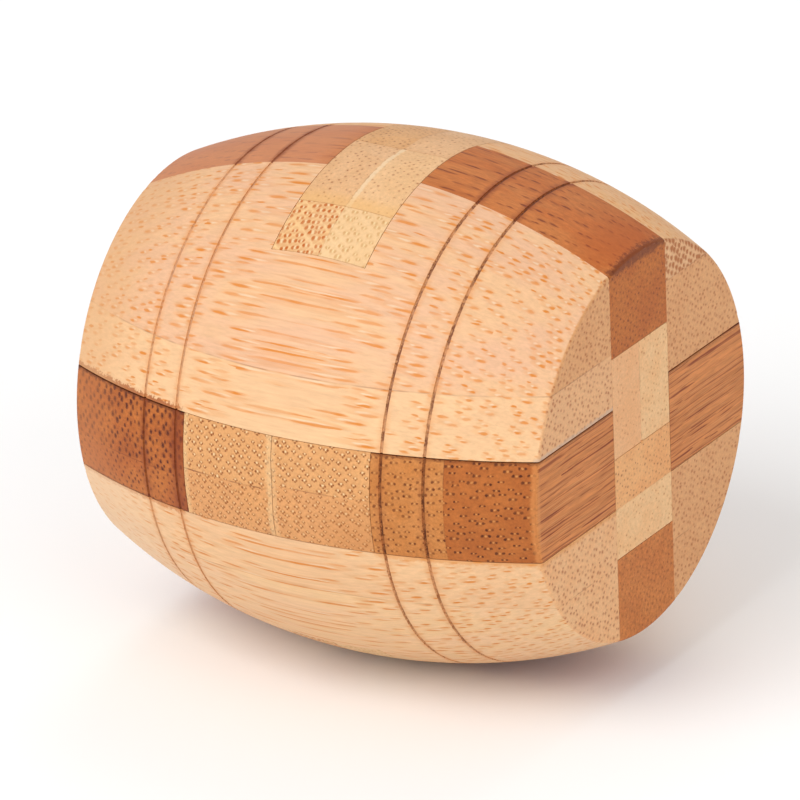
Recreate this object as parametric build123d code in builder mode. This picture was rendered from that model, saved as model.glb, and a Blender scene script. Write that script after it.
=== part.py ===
from build123d import *
import math
import os

# Barrel-shaped wooden burr puzzle: sixteen bamboo sticks and staves interlocked
# on a square grid and turned together into a small barrel.
#
# Frame: millimetres, origin at the centre of the barrel. X is the barrel's axis,
# -Y is the front, +Z is up, and the barrel lies on its belly.

# ---------------------------------------------------------------- driving sizes
stick_width = 10.0          # side of one square stick, the step of the whole grid
barrel_length = 49.6        # from end face to end face, along X
belly_radius = 24.5         # turned radius at mid length
belly_flat = 0.15           # depth of the flats that turning leaves on the square blank
end_radius = 18.8           # turned radius at the two end faces
end_edge_round = 0.4        # rounding of the turned edge around each end face
fit_gap = 0.03              # play that each loose face leaves, half of a joint's gap
cross_bar_play = 0.08       # the same for the sides of the two loose dark bars
cross_bar_drop = 0.03       # how far those two have settled within their play
ring_offsets = (11.0, 15.0)  # distance of the burnt rings from mid length
ring_groove_width = 0.3     # width, and twice the depth, of a burnt ring

# ---------------------------------------------------------------- the grid
half_stick = stick_width / 2
neck_reach = stick_width + half_stick   # centre to the far face of a neck or key
blank_reach = max(belly_radius, barrel_length / 2) + stick_width  # past the barrel

# The three directions of the grid. Each plane's normal runs along the pieces that
# it carries, and its own X points from the puzzle's centre out to them. On the two
# planes of the loose dark bars, the plane's own Y is up.
upward = Plane(origin=(0, 0, 0), x_dir=(0, 0, 1), z_dir=(1, 0, 0))
downward = Plane(origin=(0, 0, 0), x_dir=(0, 0, -1), z_dir=(1, 0, 0))
leftward = Plane(origin=(0, 0, 0), x_dir=(-1, 0, 0), z_dir=(0, 1, 0))
rightward = Plane(origin=(0, 0, 0), x_dir=(1, 0, 0), z_dir=(0, -1, 0))
frontward = Plane(origin=(0, 0, 0), x_dir=(0, -1, 0), z_dir=(0, 0, 1))
backward = Plane(origin=(0, 0, 0), x_dir=(0, 1, 0), z_dir=(0, 0, 1))


# ---------------------------------------------------------------- turned barrel
def barrel_radius(x):
    """Radius of the turned surface at x: one arc from end to belly to end."""
    rise = belly_radius - end_radius
    arc_radius = ((barrel_length / 2) ** 2 + rise**2) / (2 * rise)
    return math.sqrt(arc_radius**2 - x**2) - arc_radius + belly_radius


with BuildPart() as barrel:
    with BuildSketch(Plane.XZ) as half_section:
        with BuildLine():
            left_foot = (-barrel_length / 2, 0)
            left_rim = (-barrel_length / 2, end_radius)
            right_rim = (barrel_length / 2, end_radius)
            right_foot = (barrel_length / 2, 0)
            Line(left_foot, left_rim)
            ThreePointArc(left_rim, (0, belly_radius), right_rim)
            Line(right_rim, right_foot)
            Line(right_foot, left_foot)
        make_face()
        rims = half_section.vertices().group_by(Axis.Z)[-1]
        fillet(rims, end_edge_round)
    revolve(axis=Axis.X)

    with BuildSketch(Plane.XZ):
        for offset_x in ring_offsets:
            ring_centres = [(side * offset_x, barrel_radius(offset_x)) for side in (-1, 1)]
            with Locations(*ring_centres):
                Circle(ring_groove_width / 2)
    revolve(axis=Axis.X, mode=Mode.SUBTRACT)

    # The blank is barely wider than the belly, so its four faces survive there as
    # small flats, and the barrel can lie on one without rolling.
    with BuildSketch(Plane.YZ):
        blank_width = 2 * (belly_radius - belly_flat)
        Rectangle(blank_width, blank_width)
    extrude(amount=barrel_length, both=True, mode=Mode.INTERSECT)


# ---------------------------------------------------------------- building blocks
def bar_section(near, far, half_width, shift=0):
    """Rectangle from near to far along the plane's X, half_width to each side of a
    middle line that is shifted along the plane's Y."""
    with Locations(((near + far) / 2, shift)):
        Rectangle(far - near, 2 * half_width)


def save(piece, name):
    """Label a finished piece and write it as one STEP file."""
    piece.part.label = name
    export_step(piece.part, f"parts/{name}.step")


def inner_bar(name, plane):
    """Square bar whose inner half is notched over three stick widths, so that the
    six of them cross in pairs around the hollow centre."""
    with BuildPart() as bar:
        with BuildSketch(plane):
            bar_section(fit_gap, stick_width - fit_gap, half_stick - fit_gap)
        extrude(amount=blank_reach, both=True)
        with BuildSketch(plane):
            bar_section(0, half_stick + fit_gap, half_stick)
        extrude(amount=neck_reach + fit_gap, both=True, mode=Mode.SUBTRACT)
        add(barrel.part, mode=Mode.INTERSECT)
    save(bar, name)


def dark_bar(name, plane, side_gap=0, drop=0):
    """Carbonised outer bar, notched from outside down to a half-stick neck that two
    inner bars straddle. side_gap is zero where staves are glued to its sides."""
    with BuildPart() as bar:
        with BuildSketch(plane):
            bar_section(stick_width + fit_gap, blank_reach, half_stick - side_gap, -drop)
        extrude(amount=blank_reach, both=True)
        with BuildSketch(plane):
            bar_section(neck_reach - fit_gap, blank_reach, half_stick)
        extrude(amount=half_stick + fit_gap, both=True, mode=Mode.SUBTRACT)
        add(barrel.part, mode=Mode.INTERSECT)
    save(bar, name)


def key_strip(name, plane):
    """Plain half-thickness strip behind an upright bar: the piece that comes out
    first and that locks the rest."""
    with BuildPart() as strip:
        with BuildSketch(plane):
            bar_section(stick_width + fit_gap, neck_reach - fit_gap, half_stick - fit_gap)
        extrude(amount=blank_reach, both=True)
        add(barrel.part, mode=Mode.INTERSECT)
    save(strip, name)


def stave(name, plane, side):
    """Corner stave glued to the side of a dark bar, with a slot across its inner
    side for an upright bar and a key. side is +1 or -1 along the plane's Y."""
    with BuildPart() as corner:
        with BuildSketch(plane):
            near = half_stick + fit_gap
            with Locations(((near + blank_reach) / 2, side * (half_stick + blank_reach) / 2)):
                Rectangle(blank_reach - near, blank_reach - half_stick)
        extrude(amount=blank_reach, both=True)
        with BuildSketch(plane):
            with Locations((blank_reach / 2, side * (neck_reach + fit_gap) / 2)):
                Rectangle(blank_reach, neck_reach + fit_gap)
        extrude(amount=half_stick + fit_gap, both=True, mode=Mode.SUBTRACT)
        add(barrel.part, mode=Mode.INTERSECT)
    save(corner, name)


# ---------------------------------------------------------------- the pieces
os.makedirs("parts", exist_ok=True)

inner_bar("long_bar_upper", upward)
inner_bar("long_bar_lower", downward)
inner_bar("cross_bar_left", leftward)
inner_bar("cross_bar_right", rightward)
inner_bar("upright_bar_front", frontward)
inner_bar("upright_bar_back", backward)

dark_bar("dark_bar_top", upward)
dark_bar("dark_bar_bottom", downward)
dark_bar("dark_bar_left", leftward, side_gap=cross_bar_play, drop=cross_bar_drop)
dark_bar("dark_bar_right", rightward, side_gap=cross_bar_play, drop=cross_bar_drop)

key_strip("key_front", frontward)
key_strip("key_back", backward)

stave("stave_top_front", upward, side=1)
stave("stave_top_back", upward, side=-1)
stave("stave_bottom_front", downward, side=-1)
stave("stave_bottom_back", downward, side=1)
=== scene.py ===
"""Looks for the barrel-shaped bamboo burr puzzle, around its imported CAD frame.

Every stick of the puzzle is a carried-over CAD node. What this script adds is the
bamboo itself: a solid procedural wood whose vascular bundles run along each stick's
own grain, so that one material shows dots on end grain, ovals where the turned
surface cuts across the grain and long streaks where it runs with it.
"""
import math

import bpy
from mathutils import Matrix, Vector


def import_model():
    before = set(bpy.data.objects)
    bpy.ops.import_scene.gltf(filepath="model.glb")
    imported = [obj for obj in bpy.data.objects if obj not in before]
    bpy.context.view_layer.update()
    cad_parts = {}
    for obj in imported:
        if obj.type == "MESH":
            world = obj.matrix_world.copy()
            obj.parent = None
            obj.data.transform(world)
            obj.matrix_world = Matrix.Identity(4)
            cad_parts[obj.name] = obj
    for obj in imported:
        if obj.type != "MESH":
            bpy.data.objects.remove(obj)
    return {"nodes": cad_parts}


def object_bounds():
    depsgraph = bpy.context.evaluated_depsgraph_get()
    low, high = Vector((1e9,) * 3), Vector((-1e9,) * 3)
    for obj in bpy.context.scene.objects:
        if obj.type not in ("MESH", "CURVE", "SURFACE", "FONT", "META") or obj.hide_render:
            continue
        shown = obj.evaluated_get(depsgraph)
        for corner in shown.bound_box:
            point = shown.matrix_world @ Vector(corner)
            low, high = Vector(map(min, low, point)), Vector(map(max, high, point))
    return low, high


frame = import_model()
cad_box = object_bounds()

MM = 0.001


# ---------------------------------------------------------------- node helpers
class Graph:
    """A node tree with short calls for the nodes that the bamboo needs."""

    def __init__(self, tree):
        self.tree = tree

    def node(self, kind, **settings):
        made = self.tree.nodes.new(kind)
        for name, value in settings.items():
            setattr(made, name, value)
        return made

    def feed(self, socket, value):
        """Link a socket, or set its constant."""
        if isinstance(value, bpy.types.NodeSocket):
            self.tree.links.new(value, socket)
        elif value is not None:
            socket.default_value = value

    def math(self, operation, a, b=None, c=None, clamp=False):
        made = self.node("ShaderNodeMath", operation=operation, use_clamp=clamp)
        for socket, value in zip(made.inputs, (a, b, c)):
            self.feed(socket, value)
        return made.outputs[0]

    def vector(self, operation, a, b=None, scale=None):
        made = self.node("ShaderNodeVectorMath", operation=operation)
        self.feed(made.inputs[0], a)
        self.feed(made.inputs[1], b)
        if scale is not None:
            self.feed(made.inputs["Scale"], scale)
        return made.outputs["Value" if operation in ("LENGTH", "DOT_PRODUCT") else "Vector"]

    def combine(self, x, y, z=0.0):
        made = self.node("ShaderNodeCombineXYZ")
        for socket, value in zip(made.inputs, (x, y, z)):
            self.feed(socket, value)
        return made.outputs[0]

    def split(self, vector):
        made = self.node("ShaderNodeSeparateXYZ")
        self.feed(made.inputs[0], vector)
        return made.outputs[0], made.outputs[1], made.outputs[2]

    def ramp(self, value, low, high, to_low=0.0, to_high=1.0):
        """Smooth step of value between low and high."""
        made = self.node("ShaderNodeMapRange", interpolation_type="SMOOTHSTEP")
        for name, number in (("Value", value), ("From Min", low), ("From Max", high),
                             ("To Min", to_low), ("To Max", to_high)):
            self.feed(made.inputs[name], number)
        return made.outputs[0]

    def noise(self, vector, scale, detail=2.0, roughness=0.5, output="Fac"):
        made = self.node("ShaderNodeTexNoise", noise_dimensions="3D")
        self.feed(made.inputs["Vector"], vector)
        made.inputs["Scale"].default_value = scale
        made.inputs["Detail"].default_value = detail
        made.inputs["Roughness"].default_value = roughness
        return made.outputs[output]

    def mix(self, factor, a, b):
        """Colour between a and b."""
        made = self.node("ShaderNodeMix", data_type="RGBA", blend_type="MIX")
        self.feed(made.inputs[0], factor)
        self.feed(made.inputs[6], a)
        self.feed(made.inputs[7], b)
        return made.outputs[2]


def rgb(red, green, blue):
    """An sRGB colour given as 0-255 numbers, in the linear form that shaders use."""
    def linear(c):
        c /= 255
        return c / 12.92 if c <= 0.04045 else ((c + 0.055) / 1.055) ** 2.4
    return (linear(red), linear(green), linear(blue), 1.0)


# ---------------------------------------------------------------- bamboo
ALBEDO = 0.78       # share of light that a surface seen as white gives back


def seen(red, green, blue):
    """Reflectance of a colour given in 0-255 numbers as it looks in the studio's light."""
    return tuple(ALBEDO * part for part in rgb(red, green, blue)[:3]) + (1.0,)


CELL_TURN = ((0.83, -0.56), (0.56, 0.83))           # slant of the rows of bundles
LAMINA_INPUTS = (
    ("Grain", "NodeSocketVector", (0, 0, 0)),       # a, b across the grain, g along it
    ("Base", "NodeSocketColor", (1, 1, 1, 1)),
    ("Blush", "NodeSocketColor", (1, 1, 1, 1)),     # second tone, in slow patches
    ("Lobe", "NodeSocketColor", (0, 0, 0, 1)),      # the dark fibre caps of a bundle
    ("Core", "NodeSocketColor", (1, 1, 1, 1)),      # its middle: pale pith or open pore
    ("Spacing", "NodeSocketFloat", 1.0),            # between bundles, mm
    ("Lobe Size", "NodeSocketFloat", 0.13),         # radius of one cap, mm
    ("Core Size", "NodeSocketFloat", 0.12),         # radius of the middle, mm
    ("Lobe Strength", "NodeSocketFloat", 0.9),
    ("Core Strength", "NodeSocketFloat", 0.8),
    ("Halo", "NodeSocketFloat", 0.15),              # faint tint of the whole bundle
    ("Lobe 1", "NodeSocketVector", (0, 0, 0)),      # places of the caps and the middle
    ("Lobe 2", "NodeSocketVector", (0, 0, 0)),
    ("Lobe 3", "NodeSocketVector", (0, 0, 0)),
    ("Middle", "NodeSocketVector", (0, 0, 0)),
    ("Keep", "NodeSocketFloat", 1.0),               # share of bundles that show
    ("Break", "NodeSocketFloat", 0.2),              # how much bundles fade along g
    ("Fibre", "NodeSocketFloat", 0.4),              # contrast of the fine fibres
    ("Jumble", "NodeSocketFloat", 0.45),            # how irregular the rows of bundles are
)


def lamina_group():
    """One glued strip of bamboo as a solid texture in millimetres."""
    tree = bpy.data.node_groups.new("bamboo_lamina", "ShaderNodeTree")
    for name, kind, default in LAMINA_INPUTS:
        socket = tree.interface.new_socket(name, in_out="INPUT", socket_type=kind)
        socket.default_value = default
    for name, kind in (("Color", "NodeSocketColor"), ("Height", "NodeSocketFloat")):
        tree.interface.new_socket(name, in_out="OUTPUT", socket_type=kind)
    g = Graph(tree)
    given = g.node("NodeGroupInput").outputs
    grain = given["Grain"]

    # Cells across the grain, in rows on the slant, with one bundle in each.
    a, b = g.split(grain)[:2]
    (aa, ab), (ba, bb) = CELL_TURN
    row = g.math("MULTIPLY_ADD", a, aa, g.math("MULTIPLY", b, ab))
    column = g.math("MULTIPLY_ADD", a, ba, g.math("MULTIPLY", b, bb))
    spacing = given["Spacing"]
    across = g.combine(g.math("DIVIDE", row, spacing), g.math("DIVIDE", column, spacing))
    cells = g.node("ShaderNodeTexVoronoi", voronoi_dimensions="2D", feature="F1")
    g.feed(cells.inputs["Vector"], across)
    cells.inputs["Scale"].default_value = 1.0
    g.feed(cells.inputs["Randomness"], given["Jumble"])
    chance, chance_size, chance_tone = g.split(cells.outputs["Color"])
    growth = g.math("MULTIPLY_ADD", chance_size, 0.5, 0.75)
    local = g.vector("SCALE", g.vector("SUBTRACT", across, cells.outputs["Position"]), scale=spacing)

    def spot(place, size, inner, outer):
        """Round spot of the given radius, soft between the inner and outer share of it."""
        away = g.vector("LENGTH", g.vector("SUBTRACT", local, g.vector("SCALE", place, scale=growth)))
        return g.ramp(g.math("DIVIDE", away, g.math("MULTIPLY", size, growth)), outer, inner)

    # Three caps of uneven darkness round the pale middle.
    lobes = g.math("MULTIPLY", spot(given["Lobe 1"], given["Lobe Size"], 0.55, 1.3),
                   g.math("MULTIPLY_ADD", chance_tone, 0.5, 0.6))
    for name, least, gain in (("Lobe 2", 1.1, -0.5), ("Lobe 3", 0.6, 0.4)):
        cap = spot(given[name], given["Lobe Size"], 0.55, 1.3)
        cap = g.math("MULTIPLY", cap, g.math("MULTIPLY_ADD", chance_tone, gain, least))
        lobes = g.math("MAXIMUM", lobes, cap)
    core = spot(given["Middle"], given["Core Size"], 0.45, 1.15)
    halo = spot(given["Middle"], g.math("MULTIPLY", given["Core Size"], 2.6), 0.6, 1.1)

    # Some bundles are missing, and the rest fade in and out along the grain.
    kept = g.ramp(g.math("SUBTRACT", given["Keep"], chance), -0.02, 0.02)
    fading = g.vector("MULTIPLY", grain, (0.6, 0.6, 0.22))
    patch = g.ramp(g.noise(fading, 1.0, 2.0), 0.40, 0.60)
    faded = g.math("MULTIPLY", given["Break"], g.math("SUBTRACT", 1.0, patch))
    shown = g.math("MULTIPLY", kept, g.math("SUBTRACT", 1.0, faded))
    lobes = g.math("MULTIPLY", lobes, shown)
    core = g.math("MULTIPLY", core, shown)
    halo = g.math("MULTIPLY", halo, shown)

    # Fine fibres between the bundles, and slow patches of the second tone.
    fine = g.vector("MULTIPLY", grain, (3.6, 3.6, 0.30))
    fibre = g.math("SUBTRACT", g.noise(fine, 1.0, 4.0, 0.7), 0.5)
    broad = g.vector("MULTIPLY", grain, (0.30, 0.30, 0.06))
    patches = g.ramp(g.noise(broad, 1.0, 3.0, 0.6), 0.35, 0.65)
    light = g.math("MULTIPLY_ADD", fibre, given["Fibre"], 1.0)

    colour = g.vector("SCALE", g.mix(patches, given["Base"], given["Blush"]), scale=light)
    colour = g.mix(g.math("MULTIPLY", halo, given["Halo"]), colour, given["Lobe"])
    colour = g.mix(g.math("MULTIPLY", core, given["Core Strength"]), colour, given["Core"])
    colour = g.mix(g.math("MULTIPLY", lobes, given["Lobe Strength"], clamp=True), colour, given["Lobe"])
    height = g.math("MULTIPLY_ADD", lobes, -0.4, g.math("MULTIPLY", fibre, 0.5))

    made = g.node("NodeGroupOutput")
    g.feed(made.inputs["Color"], colour)
    g.feed(made.inputs["Height"], height)
    return tree


LAMINA = lamina_group()


def look(base, blush, lobe, core, lobes=((0.2, 0), (-0.2, 0), (0, -0.2)), middle=(0, 0), **numbers):
    """One strip's colours and numbers, under the group's socket names; Break keeps its
    capital because break is a keyword. lobes and middle are places across the grain, in
    millimetres from the middle of a bundle."""
    chosen = {}
    for name, colour in (("Base", base), ("Blush", blush), ("Lobe", lobe), ("Core", core)):
        chosen[name] = seen(*colour)
    for name, (a, b) in zip(("Lobe 1", "Lobe 2", "Lobe 3", "Middle"), (*lobes, middle)):
        chosen[name] = tuple(a * along_a + b * along_b for along_a, along_b in CELL_TURN) + (0.0,)
    for name, value in numbers.items():
        chosen[name.replace("_", " ").title()] = value
    return chosen


RING_OFFSETS = (11.0, 15.0)     # the burnt rings' distance from mid length, mm
CHAR_LIGHT, TOAST_LIGHT = (126, 66, 36), (236, 158, 92)     # burns on the light sticks
CHAR, TOAST = (96, 42, 18), (142, 62, 24)                   # burns on the dark sticks
CHAR_FAINT = (166, 98, 50)                                  # burns under the belly
RING_LINE = (0.17, 0.06)        # from a ring's middle to where its line ends and is full, mm
RING_MARGIN = (0.75, 0.10)      # the same for the scorched margin
GLUE_LINE = (0.09, 0.03)        # and for a glue line between two strips
BEND, RAGGED = 0.6, 0.16        # how far the bundles wander and how rough they are, mm
BUMP = 0.000006                 # depth of the bundles' relief, m
END_GRAIN = (0.50, 0.75)        # surface normal along the grain: where end grain starts, is full
AXES = {"X": ("Y", "Z", "X"), "Y": ("X", "Z", "Y"), "Z": ("X", "Y", "Z")}
UNIT = {"X": (1, 0, 0), "Y": (0, 1, 0), "Z": (0, 0, 1)}


def burnt_rings(g, x, place):
    """How burnt the surface is: ragged lines in the grooves, weaker on the -X side, and
    the soft scorched margins beside them."""
    jitter = g.math("SUBTRACT", g.noise(g.vector("MULTIPLY", place, (1.0, 2.6, 2.6)), 1.0, 3.0, 0.75), 0.5)
    flicker = g.noise(g.vector("MULTIPLY", place, (0.0, 0.7, 0.7)), 1.0, 3.0, 0.75)
    reach = g.math("MULTIPLY_ADD", jitter, 0.4, g.math("ABSOLUTE", x))
    line = glow = None
    for offset in RING_OFFSETS:
        away = g.math("ABSOLUTE", g.math("SUBTRACT", reach, offset))
        thin, wide = g.ramp(away, *RING_LINE), g.ramp(away, *RING_MARGIN)
        line = thin if line is None else g.math("MAXIMUM", line, thin)
        glow = wide if glow is None else g.math("MAXIMUM", glow, wide)
    strength = g.ramp(x, -1.0, 1.0, 0.35, 0.9)
    strength = g.math("MULTIPLY", strength, g.ramp(flicker, 0.35, 0.6, 0.25, 1.0))
    glow = g.math("MULTIPLY", glow, g.ramp(flicker, 0.65, 0.35, 0.4, 1.0))
    return g.math("MULTIPLY", line, strength), glow


def tinted(g, colour, xyz, place, tints):
    """Local changes of colour. Each tint has its colour, its strength, how ragged its
    edge is in millimetres, and the ramps along the axes that bound it."""
    rag = g.math("SUBTRACT", g.noise(g.vector("SCALE", place, scale=2.4), 1.0, 3.0, 0.75), 0.5)
    for tone, strength, ragged, ramps in tints:
        mask = strength
        for axis, start, stop in ramps:
            coordinate = g.math("MULTIPLY_ADD", rag, 2 * ragged, xyz[axis])
            mask = g.math("MULTIPLY", g.ramp(coordinate, start, stop), mask)
        # Some tints are painted light, painted shade or a painted highlight rather than marks in the wood.
        colour = g.mix(mask, colour, seen(*tone))
    return colour


def bamboo(name, grain, looks, planes=(), stack="Z", seed=0, burn=CHAR_LIGHT, toast=TOAST_LIGHT,
           scorch=0.5, seams=0.35, tints=()):
    """Material for one stick. grain is its axis; looks are its strips in order along the
    stack axis, each as seen along the grain and across it; planes (mm) are the glue lines
    between them, with seams as their strength. burn is the colour of ring lines and glue
    lines, and toast, with scorch as its strength, is that of the margin beside a ring."""
    material = bpy.data.materials.new(name)
    material.use_nodes = True
    tree = material.node_tree
    tree.nodes.clear()
    g = Graph(tree)
    coordinates = g.node("ShaderNodeTexCoord").outputs
    place = g.vector("SCALE", coordinates["Object"], scale=1 / MM)
    xyz = dict(zip("XYZ", g.split(place)))
    squareness = g.math("ABSOLUTE", g.vector("DOT_PRODUCT", coordinates["Normal"], UNIT[grain]))
    end_grain = g.ramp(squareness, *END_GRAIN)

    # Bundles bend slowly along the grain, and their outlines are a little ragged.
    a, b, along = (xyz[axis] for axis in AXES[grain])
    straight = g.combine(a, b, along)
    slow = g.vector("MULTIPLY", straight, (0.05, 0.05, 0.07))
    bend = g.vector("SUBTRACT", g.noise(slow, 1.0, 2.0, output="Color"), (0.5, 0.5, 0.5))
    ragged = g.vector("MULTIPLY", straight, (5.0, 5.0, 0.4))
    rag = g.vector("SUBTRACT", g.noise(ragged, 1.0, 1.0, output="Color"), (0.5, 0.5, 0.5))
    bent = g.vector("ADD", straight, g.vector("SCALE", bend, scale=BEND))
    bent = g.vector("ADD", bent, g.vector("SCALE", rag, scale=RAGGED))

    def lamina(number, values):
        shift = (seed * 7.31 + number * 13.7, seed * 3.17 - number * 9.1, seed * 5.3 + number * 21.0)
        group = g.node("ShaderNodeGroup", node_tree=LAMINA)
        g.feed(group.inputs["Grain"], g.vector("ADD", bent, shift))
        for socket, value in values.items():
            group.inputs[socket].default_value = value
        return group.outputs["Color"], group.outputs["Height"]

    colour = height = None
    for number, (long_view, end_view) in enumerate(looks):
        strip, relief = lamina(number, long_view)
        if end_view is not long_view:
            end_strip, end_relief = lamina(number, end_view)
            strip = g.mix(end_grain, strip, end_strip)
            relief = end_relief     # serves the long grain too
        if colour is None:
            colour, height = strip, relief
            continue
        edge = g.math("SUBTRACT", xyz[stack], planes[number - 1])
        above = g.ramp(edge, -0.04, 0.04)
        colour = g.mix(above, colour, strip)
        height = g.math("ADD", g.math("MULTIPLY", height, g.math("SUBTRACT", 1.0, above)),
                        g.math("MULTIPLY", relief, above))
        # The glue line shows here and there as a thin darker seam.
        seam = g.ramp(g.math("ABSOLUTE", edge), *GLUE_LINE)
        along_seam = g.vector("SCALE", place, scale=0.3)
        seam = g.math("MULTIPLY", seam, g.ramp(g.noise(along_seam, 1.0, 2.0), 0.40, 0.62, 0.1, 1.0))
        seam = g.math("MULTIPLY", seam, seams)
        colour = g.mix(seam, colour, seen(*burn))

    colour = tinted(g, colour, xyz, place, tints)
    line, glow = burnt_rings(g, xyz["X"], place)
    colour = g.mix(g.math("MULTIPLY", glow, scorch), colour, seen(*toast))
    colour = g.mix(line, colour, seen(*burn))

    bump = g.node("ShaderNodeBump")
    bump.inputs["Strength"].default_value = 0.3
    bump.inputs["Distance"].default_value = BUMP
    g.feed(bump.inputs["Height"], height)

    shader = g.node("ShaderNodeBsdfPrincipled")
    g.feed(shader.inputs["Base Color"], colour)
    g.feed(shader.inputs["Normal"], bump.outputs["Normal"])
    shader.inputs["Roughness"].default_value = 0.52
    shader.inputs["Specular IOR Level"].default_value = 0.25
    output = g.node("ShaderNodeOutputMaterial")
    g.feed(output.inputs["Surface"], shader.outputs["BSDF"])
    return material


# ---------------------------------------------------------------- the strips
# Light staves: orange dashes with a pale middle along the grain, dots across it.
PEACH = dict(lobe=(232, 142, 56), core=(255, 238, 206), lobes=((0, 0.28), (0, -0.26), (0.05, -0.24)),
             middle=(0, -0.10), lobe_size=0.125, core_size=0.13, lobe_strength=1.0, core_strength=0.45,
             halo=0.24, spacing=0.92, fibre=0.5)
ENDS = dict(lobe=(192, 116, 68), core=(232, 172, 116), lobes=((0, 0), (0.05, 0.03), (-0.04, 0.04)),
            lobe_size=0.115, core_size=0.1, lobe_strength=0.85, core_strength=0.0, halo=0.15, spacing=0.64,
            fibre=0.6, keep=0.95, Break=0.45, jumble=0.65)
STAVE = look((246, 196, 148), (243, 191, 151), **PEACH, Break=0.35)
STAVE_PLAIN = look((251, 204, 154), (247, 198, 150), **PEACH, Break=0.45)
STAVE_LOW = look((253, 208, 156), (252, 206, 160), **PEACH, Break=0.35)
STAVE_FINE = look((246, 190, 132), (246, 192, 140), **PEACH, Break=0.3)
STAVE_END = look((244, 186, 134), (248, 190, 136), **ENDS)
STAVE_END_DARK = look((238, 176, 120), (234, 170, 114), **ENDS)
STAVE_END_LOW = look((250, 194, 140), (250, 188, 132), **ENDS)
STAVE_COARSE = look((249, 197, 146), (245, 190, 138), (192, 114, 58), (186, 106, 52), spacing=0.64,
                    lobes=((0.1, 0.06), (-0.08, 0.08), (0.04, -0.12)), lobe_size=0.19, core_size=0.2,
                    lobe_strength=0.9, core_strength=0.9, halo=0.2, fibre=0.5)
# End-grain dots of the cross bars at the front.
FRONT_DOTS = dict(lobe_size=0.095, halo=0.22, fibre=0.7, middle=(0, 0.03),
                  lobes=((0.18, -0.04), (-0.18, -0.02), (0.03, -0.19)))
DOTS = look((236, 174, 113), (232, 168, 107), (144, 74, 24), (255, 224, 172), **FRONT_DOTS, spacing=0.75,
            core_size=0.115, lobe_strength=0.95, core_strength=0.8)
DOTS_LOW = look((231, 165, 104), (231, 165, 106), (152, 82, 30), (252, 212, 156), **FRONT_DOTS,
                spacing=0.71, core_size=0.105, lobe_strength=0.9, core_strength=0.7)
# Smooth, nearly plain bars, with fine pores.
PORES = dict(lobes=((0, 0), (0.03, 0.02), (-0.02, 0.03)), spacing=0.62, lobe_size=0.085, core_size=0.08,
             lobe_strength=0.75, core_strength=0.0, halo=0.1, fibre=0.6, Break=0.6)
SMOOTH = look((241, 190, 140), (235, 182, 130), (166, 98, 54), (250, 212, 162), **PORES, keep=0.7)
SMOOTH_PALE = look((246, 198, 146), (242, 192, 138), (176, 108, 62), (252, 220, 170), **PORES, keep=0.7)
LONG_LEFT = look((252, 192, 138), (250, 186, 130), (214, 140, 84), (255, 216, 164), **PORES, keep=0.6)
LONG_RIGHT = look((255, 206, 150), (254, 198, 140), (206, 130, 74), (255, 220, 170), **PORES, keep=0.75)
LONG_UPPER = look((252, 187, 124), (248, 177, 113), (158, 90, 46), (255, 216, 164), **PORES, keep=0.95)
SMALL_DOTS = look((236, 180, 124), (230, 172, 114), (150, 84, 38), (244, 200, 144), **PORES)
RINGED_DOTS = look((250, 208, 156), (247, 203, 149), (214, 158, 94), (255, 232, 178), spacing=0.82,
                   lobe_size=0.13, core_size=0.15, lobe_strength=0.75, core_strength=0.55, halo=0.2,
                   fibre=0.4, lobes=((0.19, 0), (-0.19, 0), (-0.17, -0.07)))
OPEN_PORES = look((252, 208, 152), (250, 202, 142), (202, 104, 28), (255, 228, 180), spacing=0.82,
                  lobe_size=0.175, core_size=0.2, lobe_strength=1.0, core_strength=0.7, halo=0.3, fibre=0.4,
                  lobes=((0.25, 0.04), (-0.27, -0.02), (-0.24, -0.08)))
# Carbonised bars.
PAIRED = dict(lobes=((0.25, 0.02), (-0.25, -0.02), (-0.23, 0.03)), middle=(0, 0.02), fibre=0.9)
BROWN = look((196, 113, 50), (184, 101, 42), (84, 32, 8), (232, 160, 88), **PAIRED, spacing=0.92,
             lobe_size=0.125, core_size=0.115, lobe_strength=0.95, core_strength=0.65, halo=0.15)
BROWN_PALE = look((214, 140, 75), (206, 130, 64), (110, 48, 14), (234, 168, 98), **PAIRED, spacing=0.92,
                  lobe_size=0.12, core_size=0.11, lobe_strength=0.9, core_strength=0.6, halo=0.15, Break=0.2)
BROWN_LONG = look((229, 146, 81), (220, 138, 73), (142, 54, 14), (246, 176, 110), spacing=0.52,
                  lobes=((0.16, 0.12), (-0.16, -0.10), (0.02, -0.25)), lobe_size=0.085, core_size=0.06,
                  lobe_strength=1.0, core_strength=0.4, halo=0.2, fibre=1.1, Break=0.15, jumble=0.9)
BROWN_PORES = look((198, 112, 46), (180, 94, 36), (92, 32, 12), (58, 18, 10), spacing=0.74,
                   lobes=((0, 0.10), (0, -0.10), (0.02, 0)), lobe_size=0.15, core_size=0.12,
                   lobe_strength=0.95, core_strength=0.95, halo=0.25, fibre=1.3, Break=0.45)
BROWN_FAINT = look((199, 115, 50), (186, 100, 42), (104, 42, 16), (84, 30, 12), spacing=0.68,
                   lobes=((0, 0.06), (0, -0.06), (0.02, 0)), lobe_size=0.11, core_size=0.1,
                   lobe_strength=0.8, core_strength=0.7, halo=0.15, fibre=1.1, Break=0.5)
BROWN_TOP = look((208, 124, 60), (200, 110, 46), (128, 54, 20), (176, 92, 40), spacing=1.05,
                 lobes=((0, 0.14), (0.2, -0.14), (0.18, -0.17)), lobe_size=0.11, core_size=0.1,
                 lobe_strength=0.95, core_strength=0.3, halo=0.15, fibre=1.0, Break=0.3, keep=0.9)
BROWN_END = look((203, 116, 46), (195, 106, 40), (130, 58, 22), (156, 80, 38), spacing=0.70, lobe_size=0.10,
                 lobes=((0, 0), (0.03, 0.02), (-0.02, 0.03)), core_size=0.1, lobe_strength=0.8,
                 core_strength=0.0, halo=0.1, fibre=1.3, Break=0.4)
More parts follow.
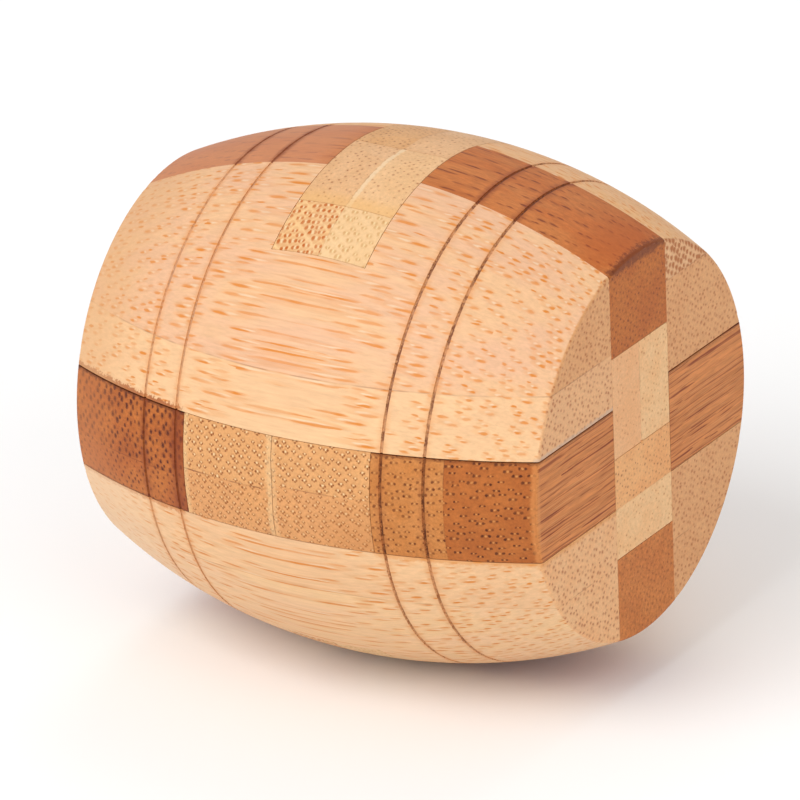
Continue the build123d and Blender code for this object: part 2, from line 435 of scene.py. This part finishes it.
BROWN_END_LOW = look((216, 132, 64), (208, 122, 56), (152, 76, 36), (156, 80, 38), spacing=0.70,
                     lobes=((0, 0), (0.03, 0.02), (-0.02, 0.03)), lobe_size=0.10, core_size=0.1,
                     lobe_strength=0.7, core_strength=0.0, halo=0.1, fibre=1.3, Break=0.4)


def plain(*strips):
    """Strips that look the same along the grain and across it."""
    return [(strip, strip) for strip in strips]


BARS = {
    "stave_top_front": dict(
        grain="X", planes=[10.5], seed=1, looks=[(STAVE_PLAIN, STAVE_END), (STAVE, STAVE_END_DARK)],
        tints=[((176, 96, 46), 0.9, 0.8, [("Z", 5.5, 5.3), ("X", -10.2, -10.8)]),
               # painted shade: darker towards the -X end, where the key light falls strongest
               ((230, 176, 124), 0.5, 1.5, [("X", -15.0, -23.0)]),
               ((206, 186, 170), 0.5, 0.4, [("Z", 5.5, 5.2), ("X", 24.2, 24.6)])]),
    "stave_top_back": dict(
        grain="X", planes=[14.0], seed=2, looks=[(STAVE_FINE, STAVE_END_DARK), (STAVE_FINE, STAVE_COARSE)]),
    "stave_bottom_front": dict(
        grain="X", planes=[-10.5], seed=3, looks=[(STAVE_LOW, STAVE_END_LOW), (STAVE_PLAIN, STAVE_END_LOW)],
        burn=CHAR_FAINT,
        tints=[((214, 134, 72), 0.8, 0.6, [("Z", -5.5, -5.2), ("X", -10.2, -10.8)]),
               # painted light: paler towards the -X end, a brightly lit patch painted into the colour
               ((252, 216, 176), 0.5, 1.5, [("X", -12.0, -20.0)]),
               ((238, 160, 84), 0.6, 0.5, [("Z", -5.6, -5.2), ("X", 9.5, 10.5)])]),
    "stave_bottom_back": dict(
        grain="X", planes=[-12.0], seed=4, looks=[(STAVE_LOW, STAVE_END_DARK), (STAVE_FINE, STAVE_END_DARK)]),
    "cross_bar_left": dict(
        grain="Y", planes=[-0.3], seed=5, looks=plain(DOTS_LOW, DOTS), seams=0.85,
        tints=[((252, 214, 160), 0.4, 0.6, [("X", -0.75, -0.35)]),
               ((250, 208, 150), 0.4, 0.25, [("X", -9.3, -9.7)])]),
    "cross_bar_right": dict(
        grain="Y", planes=[0.3], seed=6, looks=plain(DOTS_LOW, DOTS),
        tints=[((252, 214, 160), 0.25, 0.6, [("X", 0.6, 0.3)]),
               ((206, 132, 70), 0.35, 1.5, [("X", 3.0, 8.0), ("Z", 0.5, -4.5)])]),
    "upright_bar_front": dict(
        grain="Z", planes=[0.0], stack="X", seed=7, looks=plain(SMOOTH, SMOOTH_PALE),
        tints=[((255, 230, 190), 0.5, 0.25, [("X", 0.0, 0.1), ("X", 0.6, 0.35)]),
               ((246, 190, 116), 0.5, 0.6, [("Y", -8.0, -9.6)])]),
    "upright_bar_back": dict(
        grain="Z", planes=[0.2], stack="X", seed=8, looks=plain(SMALL_DOTS, SMOOTH)),
    "key_front": dict(
        grain="Z", planes=[0.0], stack="X", seed=9, looks=plain(OPEN_PORES, RINGED_DOTS)),
    "key_back": dict(
        grain="Z", planes=[0.0], stack="X", seed=10, looks=plain(SMALL_DOTS, DOTS)),
    "long_bar_upper": dict(
        grain="X", planes=[-0.1], stack="Y", seed=11, looks=plain(LONG_LEFT, LONG_RIGHT)),
    "long_bar_lower": dict(
        grain="X", planes=[-5.0], seed=12, looks=plain(LONG_RIGHT, LONG_UPPER)),
    "dark_bar_top": dict(
        grain="X", seed=13, looks=[(BROWN_TOP, BROWN_END)], burn=CHAR, toast=TOAST, scorch=0.75,
        tints=[((222, 154, 116), 0.55, 1.5, [("X", -2.0, -8.0)]),
               ((190, 90, 24), 0.6, 1.2, [("X", 18.0, 24.0), ("Z", 18.2, 19.0)]),
               ((112, 50, 22), 0.7, 0.9, [("X", 24.1, 24.6), ("Z", 17.6, 18.1)])]),
    "dark_bar_bottom": dict(
        grain="X", seed=14, looks=[(BROWN_TOP, BROWN_END_LOW)], burn=CHAR, toast=TOAST),
    "dark_bar_left": dict(
        grain="Y", planes=[-1.4], seed=15, looks=plain(BROWN_FAINT, BROWN_PORES), burn=CHAR, toast=TOAST,
        scorch=0.7,
        tints=[((140, 58, 20), 0.5, 0.8, [("X", -12.5, -10.5)]),
               ((212, 136, 80), 0.35, 1.5, [("X", -17.0, -23.0)]),
               (CHAR, 0.7, 0.4, [("Z", 4.55, 4.85)]),
               (CHAR, 0.4, 0.3, [("Z", -4.7, -4.95)])]),
    "dark_bar_right": dict(
        grain="Y", planes=[16.8], stack="X", seed=16, burn=CHAR, toast=TOAST, scorch=0.3,
        looks=[(BROWN_LONG, BROWN_PALE), (BROWN_LONG, BROWN)],
        # the first tint is a painted highlight: a lighter orange band along the rounded front end edge
        tints=[((232, 152, 84), 0.6, 0.3, [("X", 24.1, 24.5), ("Y", -18.0, -18.4)]),
               (CHAR, 0.45, 0.25, [("Z", 4.6, 4.85)])]),
}

for node, settings in BARS.items():
    stick = frame["nodes"][node]
    stick.data.materials.clear()
    stick.data.materials.append(bamboo(f"bamboo_{node}", **settings))


# ---------------------------------------------------------------- stage
def floor():
    """A plain pale floor, far wider than the puzzle, at the belly's lowest point."""
    low = cad_box[0][2]
    size = 6.0
    mesh = bpy.data.meshes.new("floor")
    corners = [(x * size, y * size, low) for x, y in ((-1, -1), (1, -1), (1, 1), (-1, 1))]
    mesh.from_pydata(corners, [], [(0, 1, 2, 3)])
    plane = bpy.data.objects.new("floor", mesh)
    bpy.context.collection.objects.link(plane)
    material = bpy.data.materials.new("floor")
    material.use_nodes = True
    shader = material.node_tree.nodes["Principled BSDF"]
    shader.inputs["Base Color"].default_value = (0.93, 0.93, 0.93, 1)
    shader.inputs["Roughness"].default_value = 0.9
    shader.inputs["Specular IOR Level"].default_value = 0.1
    mesh.materials.append(material)


def outward(azimuth, elevation):
    """Unit vector from the puzzle, in degrees. Azimuth 0 is in front, on -Y; 90 is on +X."""
    turn, lift = math.radians(azimuth), math.radians(elevation)
    return Vector((math.sin(turn) * math.cos(lift), -math.cos(turn) * math.cos(lift), math.sin(lift)))


def facing(direction, distance, aim=Vector((0, 0, 0))):
    """Matrix of a lamp or camera at that distance from aim, looking back at it."""
    turned = direction.to_track_quat("Z", "Y").to_matrix().to_4x4()
    return Matrix.Translation(aim + direction * distance) @ turned


def softbox(name, azimuth, elevation, distance, size, watts):
    """A square area light that faces the puzzle, size and distance in metres."""
    data = bpy.data.lights.new(name, "AREA")
    data.shape = "SQUARE"
    data.size = size
    data.energy = watts
    lamp = bpy.data.objects.new(name, data)
    lamp.matrix_world = facing(outward(azimuth, elevation), distance)
    bpy.context.collection.objects.link(lamp)


def world(strength):
    """Even white light from all round."""
    scene_world = bpy.data.worlds.new("studio")
    scene_world.use_nodes = True
    background = scene_world.node_tree.nodes["Background"]
    background.inputs["Color"].default_value = (1, 1, 1, 1)
    background.inputs["Strength"].default_value = strength
    bpy.context.scene.world = scene_world


def camera():
    """Long lens, from the front right and above."""
    azimuth, elevation, roll = 32.36, 23.49, -2.18      # degrees
    distance = 1.103                                    # m
    aim = Vector((-0.00076, -0.00080, -0.00063))
    data = bpy.data.cameras.new("camera")
    data.sensor_width = 36
    data.lens = 536         # mm, for the sensor above
    data.clip_start = 0.01
    data.clip_end = 50
    eye = bpy.data.objects.new("camera", data)
    placed = facing(outward(azimuth, elevation), distance, aim)
    eye.matrix_world = placed @ Matrix.Rotation(math.radians(roll), 4, "Z")
    bpy.context.collection.objects.link(eye)
    bpy.context.scene.camera = eye


floor()
world(strength=0.62)
softbox("key", azimuth=-18, elevation=42, distance=1.2, size=0.9, watts=9.0)
softbox("fill", azimuth=60, elevation=30, distance=1.4, size=1.0, watts=4.2)
softbox("rim", azimuth=190, elevation=50, distance=1.4, size=0.8, watts=2.6)
camera()
bpy.context.scene.view_settings.view_transform = "Standard"
